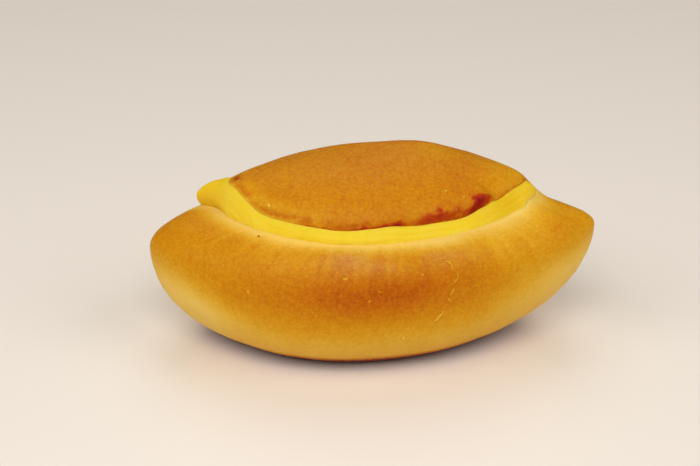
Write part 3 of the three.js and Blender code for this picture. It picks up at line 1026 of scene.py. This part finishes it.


# Browning of the mesh made uneven by noises, with pale flecks partly as painted glints, scorching with
# painted shade, and a crinkled, shiny band
def crustMaterial():
    finish = crustFinish
    material, tree, shader = newMaterial("bakedCrust")
    place = addNode(tree, "ShaderNodeTexCoord").outputs["Object"]
    bake, scorch, gloss = field(tree, "bake"), field(tree, "scorch"), field(tree, "gloss")
    mottle = noise(tree, place, *finish["mottle"])
    grain = noise(tree, scaled(tree, place, finish["grainStretch"]), *finish["grain"])
    blister = cells(tree, place, finish["blister"])["Distance"]
    weights = finish["uneven"]
    uneven = calculate(tree, "MULTIPLY", blister, weights["blister"])
    uneven = addWeighted(tree, grain, weights["grain"], uneven)
    uneven = addWeighted(tree, mottle, weights["mottle"], uneven)
    uneven = calculate(tree, "SUBTRACT", uneven, weights["middle"])
    level = addWeighted(tree, uneven, ranged(tree, bake, *finish["unevenDark"]), bake)
    low, high = finish["toneRange"]
    stops = [((tone - low) / (high - low), shade) for tone, shade in finish["tones"]]
    crust = colourRamp(tree, ranged(tree, level, low, high, 0.0, 1.0), stops)
    # Pale flecks, partly pale spots of the crust and partly painted glints
    dots = cells(tree, place, finish["fleckScale"])
    dot = ranged(tree, dots["Distance"], *finish["fleckDot"])
    fleckAndGlint = calculate(tree, "MULTIPLY", dot, ranged(tree, dots["Color"], *finish["fleckChoice"]))
    fleckedAndGlinting = blend(tree, fleckAndGlint, crust, colour(*finish["fleckAndGlint"]))
    # Scorching, and painted shade under the lifted rim
    burntAndShaded = colourRamp(tree, scorch, finish["scorch"])
    shade = blend(tree, ranged(tree, scorch, *finish["scorchShadeCover"]), fleckedAndGlinting, burntAndShaded)
    tree.links.new(shade, shader.inputs["Base Color"])
    dull = ranged(tree, mottle, *finish["dull"])
    tree.links.new(addWeighted(tree, gloss, finish["glossSmooth"], dull), shader.inputs["Roughness"])
    tree.links.new(ranged(tree, gloss, *finish["glossShine"]), shader.inputs["Specular IOR Level"])
    weights = finish["height"]
    crinkle = calculate(tree, "MULTIPLY", noise(tree, place, *finish["crinkle"]), gloss)
    height = addWeighted(tree, blister, weights["blister"], grain)
    height = addWeighted(tree, crinkle, weights["crinkle"], height)
    height = addWeighted(tree, fleckAndGlint, weights["fleckAndGlint"], height)
    roughen(tree, shader, height, *finish["bump"])
    return material


custardFinish = {
    "deep": (0.35, (251, 212, 38)),  # level and colour
    "light": (0.62, (254, 222, 64)),
    "streak": (1.0, 2.0),  # scale and detail
    "streakStretch": (110.0, 1100.0, 1.0),
    "cloud": (160.0, 3.0),
    "weights": (0.5, 0.5),  # of the streaks and the clouds
    "skin": (230, 184, 14),  # painted shade at both ends
    "skinCover": (0.0, 1.0, 0.0, 0.65),
    "lapped": (247, 206, 104),  # where it thins out over the lip
    "lapCover": (0.72, 1.0, 0.0, 0.85),
    "sockets": {
        "Roughness": 0.5,
        "Specular IOR Level": 0.12,
        "Subsurface Weight": 0.3,
        "Subsurface Radius": (0.004, 0.0025, 0.0008),
        "Subsurface Scale": 1.0,
    },
    "bump": (0.35, 0.00015),
}


def custardMaterial():  # yellow with streaks and clouds, darker at both ends as painted shade, paler where it laps
    finish = custardFinish
    material, tree, shader = newMaterial("setCustard")
    place = addNode(tree, "ShaderNodeTexCoord").outputs["Object"]
    lay = addNode(tree, "ShaderNodeCombineXYZ", {0: field(tree, "along"), 1: field(tree, "across")})
    streak = noise(tree, scaled(tree, lay.outputs[0], finish["streakStretch"]), *finish["streak"])
    streakWeight, cloudWeight = finish["weights"]
    level = calculate(tree, "MULTIPLY", noise(tree, place, *finish["cloud"]), cloudWeight)
    level = addWeighted(tree, streak, streakWeight, level)
    body = colourRamp(tree, level, (finish["deep"], finish["light"]))
    # Painted shade at both ends
    endShaded = ranged(tree, field(tree, "skin"), *finish["skinCover"])
    body = blend(tree, endShaded, body, colour(*finish["skin"]))
    lapped = ranged(tree, field(tree, "lap"), *finish["lapCover"])
    body = blend(tree, lapped, body, colour(*finish["lapped"]))
    tree.links.new(body, shader.inputs["Base Color"])
    for socket, value in finish["sockets"].items():
        shader.inputs[socket].default_value = value
    roughen(tree, shader, streak, *finish["bump"])
    return material


floorLook = {"half": 2.5, "shade": (246, 237, 225), "roughness": 0.4}


def makeFloor():  # one flat square under the bun
    u, v = np.meshgrid([-1.0, 1.0], [-1.0, 1.0])
    corners = floorLook["half"] * np.stack([u, v, 0.0 * u], -1).reshape(-1, 3)
    mesh = bpy.data.meshes.new("floor")
    mesh.from_pydata(corners.tolist(), [], [(0, 1, 3, 2)])
    floor = bpy.data.objects.new("floor", mesh)
    bpy.context.scene.collection.objects.link(floor)
    material, tree, shader = newMaterial("paleFloor")
    shader.inputs["Base Color"].default_value = colour(*floorLook["shade"])
    shader.inputs["Roughness"].default_value = floorLook["roughness"]
    floor.data.materials.append(material)


studio = {
    "sky": (255, 236, 214),
    "skyStrength": 0.11,
    "aim": (0.0, 0.0, 0.03),
    "size": 1.0,
    "lamps": {  # place and watts
        "front": ((-0.123, -0.878, 0.981), 9.4),
        "back": ((0.0, 0.746, 1.095), 4.1),
        "left": ((-0.903, -0.421, 0.866), 4.8),
        "right": ((0.903, -0.421, 0.866), 4.9),
    },
}


def makeLight():  # a dim warm room and four round softboxes turned to the bun
    scene = bpy.context.scene
    world = bpy.data.worlds.new("softRoom")
    world.use_nodes = True
    sky = world.node_tree.nodes["Background"]
    sky.inputs["Color"].default_value = colour(*studio["sky"])
    sky.inputs["Strength"].default_value = studio["skyStrength"]
    scene.world = world
    for side, (place, watts) in studio["lamps"].items():
        lamp = bpy.data.lights.new(f"{side}Softbox", "AREA")
        lamp.shape = "DISK"
        lamp.size = studio["size"]
        lamp.energy = watts
        holder = bpy.data.objects.new(f"{side}Softbox", lamp)
        holder.location = place
        ray = Vector(studio["aim"]) - Vector(place)
        holder.rotation_euler = ray.to_track_quat("-Z", "Y").to_euler()
        scene.collection.objects.link(holder)
    scene.view_settings.view_transform = "Standard"


viewpoint = {
    "aim": (-0.00685, 0.0, 0.0331),
    "distance": 0.4974,
    "azimuth": -2.6,
    "elevation": 25.1,
    "lens": 85.0,
    "sensor": 36.0,
    "nearest": 0.01,
}


def makeCamera():  # at a distance from the aim, turned by azimuth and elevation
    azimuth, elevation = np.radians(viewpoint["azimuth"]), np.radians(viewpoint["elevation"])
    level = np.cos(elevation)
    back = Vector((np.sin(azimuth) * level, -np.cos(azimuth) * level, np.sin(elevation)))
    data = bpy.data.cameras.new("camera")
    data.lens = viewpoint["lens"]
    data.sensor_width = viewpoint["sensor"]
    data.clip_start = viewpoint["nearest"]
    camera = bpy.data.objects.new("camera", data)
    camera.location = Vector(viewpoint["aim"]) + back * viewpoint["distance"]
    camera.rotation_euler = (-back).to_track_quat("-Z", "Y").to_euler()
    bpy.context.scene.collection.objects.link(camera)
    bpy.context.scene.camera = camera


makeCamera()
makeLight()
makeFloor()
print("studio ready")

crust = crustMaterial()
bread, breadPlace = makeBread()
flakes = makeFlakes(breadPlace)
for piece in (bread, flakes):
    piece.data.materials.append(crust)
    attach(piece, "root")
    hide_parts("bread")

custard = makeCustard()
custard.data.materials.append(custardMaterial())
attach(custard, "root")
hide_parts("custard")
